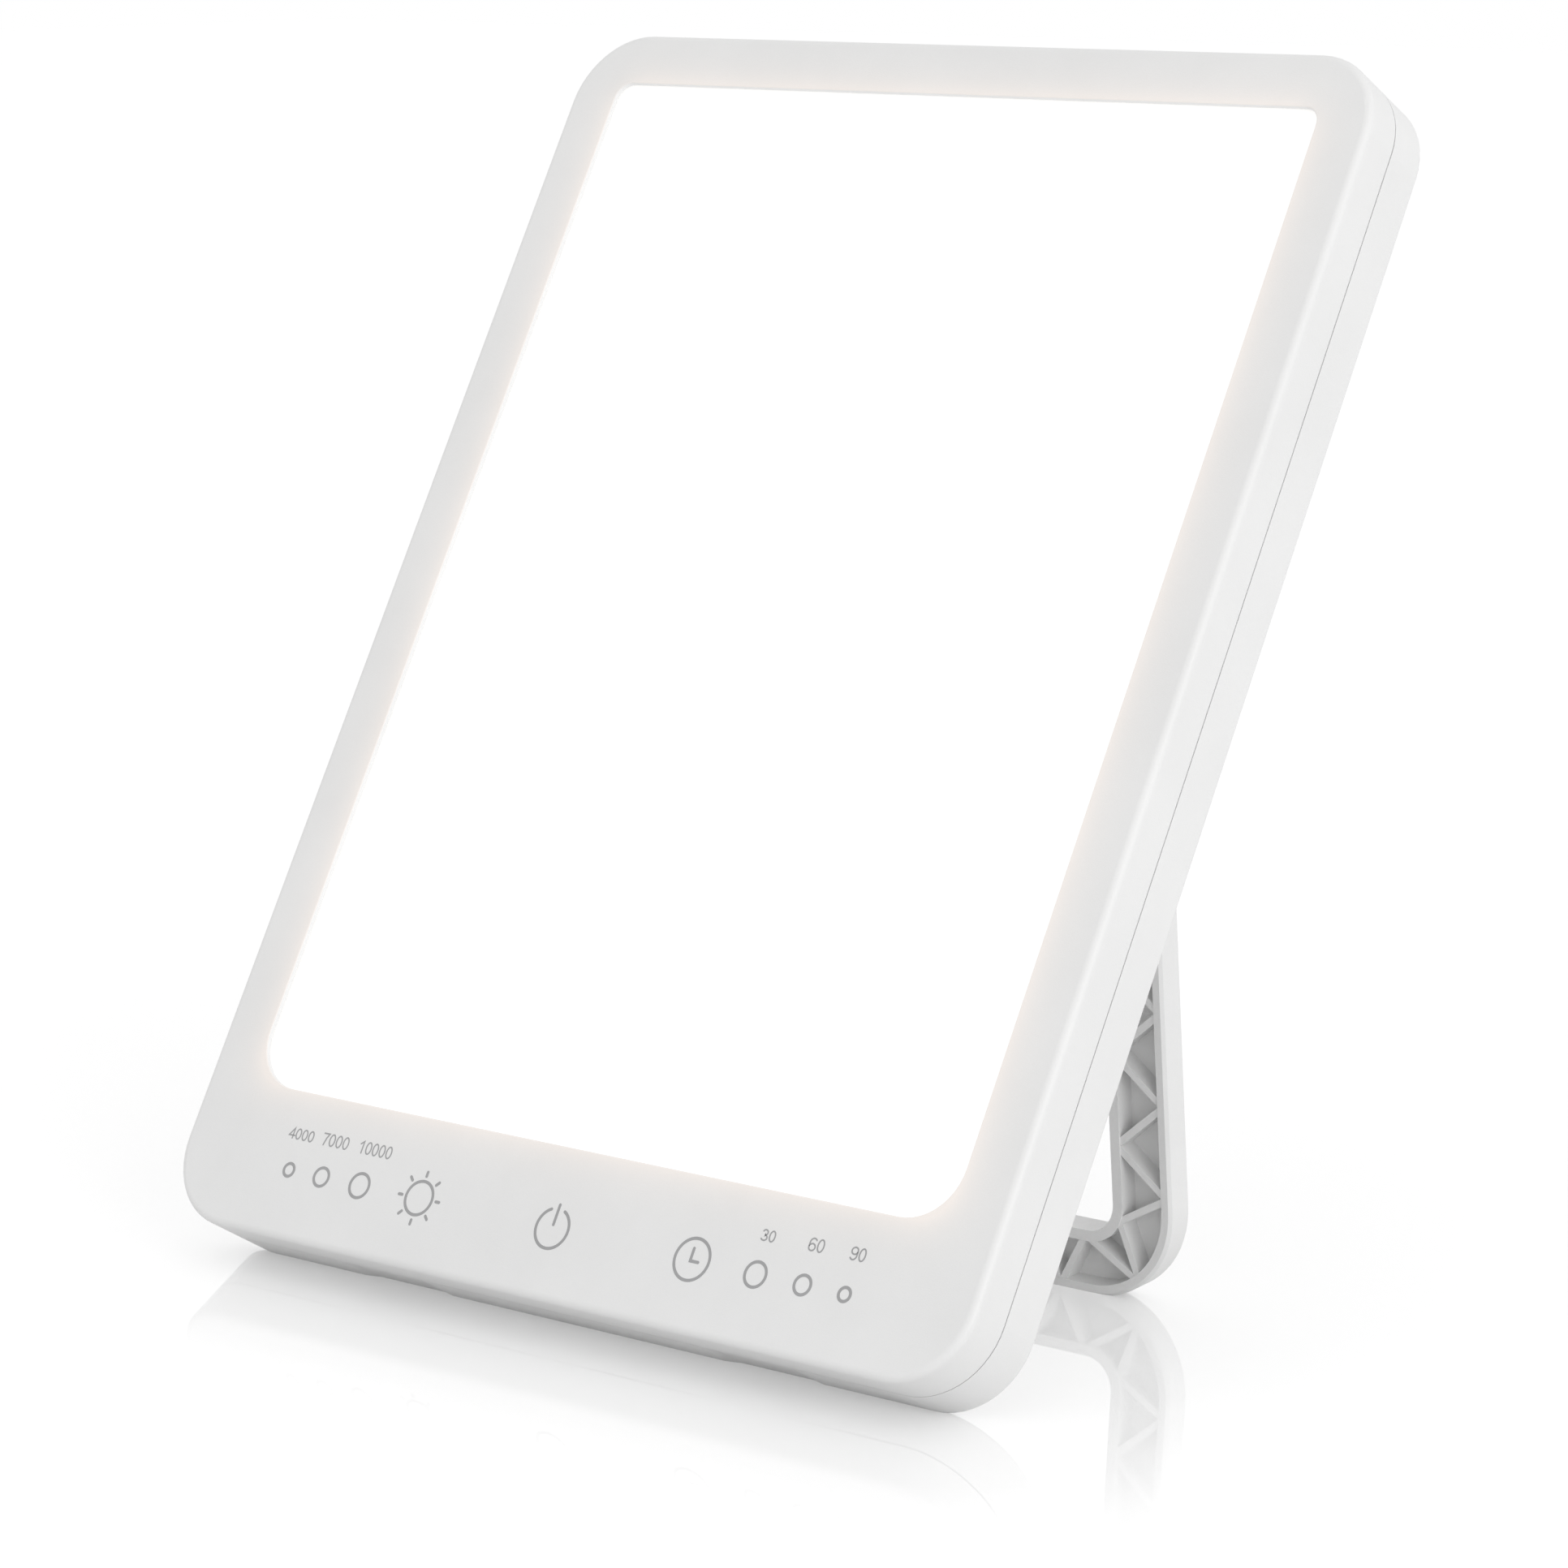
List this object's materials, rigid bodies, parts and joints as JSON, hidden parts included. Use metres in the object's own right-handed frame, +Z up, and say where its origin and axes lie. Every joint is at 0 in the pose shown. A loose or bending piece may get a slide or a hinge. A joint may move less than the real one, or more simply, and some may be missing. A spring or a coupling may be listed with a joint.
{
  "type": "light therapy lamp",
  "caption": "Slim upright light panel with an opal window and touch controls, leaning back on a ribbed U stand that folds flush into its rear.",
  "frame": {"origin": "middle of the flat land along the panel's rear bottom edge, on the table", "axes": "+X to the right seen from the front, +Y to the back, +Z up"},
  "size_m": [0.2, 0.149, 0.2384],
  "materials": {
    "aluminium": "bent sheet, brushed",
    "black_plastic": "moulded black plastic",
    "capacitor_can": "sleeved can",
    "circuit_board": "solder mask over copper tracks",
    "clear_acrylic": "clear acrylic with printed dots",
    "clear_pipe": "clear moulded light pipe",
    "conductive_foam": "conductive foam",
    "foam": "soft closed-cell foam",
    "led": "phosphor in a white case",
    "led_board": "white solder mask",
    "nylon": "natural nylon",
    "opal_acrylic": "opal acrylic, lit from behind",
    "ribbon": "flat flexible cable",
    "shell_plastic": "fine satin moulded plastic",
    "stand_plastic": "fine satin moulded plastic",
    "steel": "zinc-plated or ground steel",
    "white_film": "bright white film"
  },
  "bodies": {
    "panel": {"front_housing": "shell_plastic", "rear_housing": "shell_plastic", "diffuser_gasket": "foam", "diffuser_panel": "opal_acrylic", "diffusing_film": "white_film", "light_guide_plate": "clear_acrylic", "reflector_sheet": "white_film", "back_plate": "aluminium", "led_board_left": "led_board", "led_board_right": "led_board", "leds_left": "led", "leds_right": "led", "control_board": "circuit_board", "touch_pad_light": "conductive_foam", "touch_pad_power": "conductive_foam", "touch_pad_timer": "conductive_foam", "indicator_leds": "led", "light_pipes_light": "clear_pipe", "light_pipes_timer": "clear_pipe", "touch_chip": "black_plastic", "driver_board": "circuit_board", "driver_insulator": "white_film", "driver_inductor": "black_plastic", "driver_capacitors": "capacitor_can", "driver_chips": "black_plastic", "driver_sockets": "nylon", "power_inlet": "black_plastic", "inlet_pin": "steel", "inlet_lead": "black_plastic", "led_lead_left": "black_plastic", "led_lead_right": "black_plastic", "control_ribbon": "ribbon", "housing_screws": "steel", "control_screws": "steel", "plate_screws": "steel", "driver_screws": "steel", "keeper_screws": "steel", "hinge_pin_left": "steel", "hinge_pin_right": "steel", "hinge_washers": "nylon", "hinge_keeper_left": "steel", "hinge_keeper_right": "steel"},
    "stand": {"stand_frame": "stand_plastic", "hinge_bush_left": "nylon", "hinge_bush_right": "nylon"}
  },
  "joints": [
    {"name": "stand_fold", "type": "hinge", "parent": "panel", "child": "stand", "pos_m": [0, 0.07276, 0.13132], "axis": [-1, 0, 0], "range_deg": [0, 35]}
  ]
}
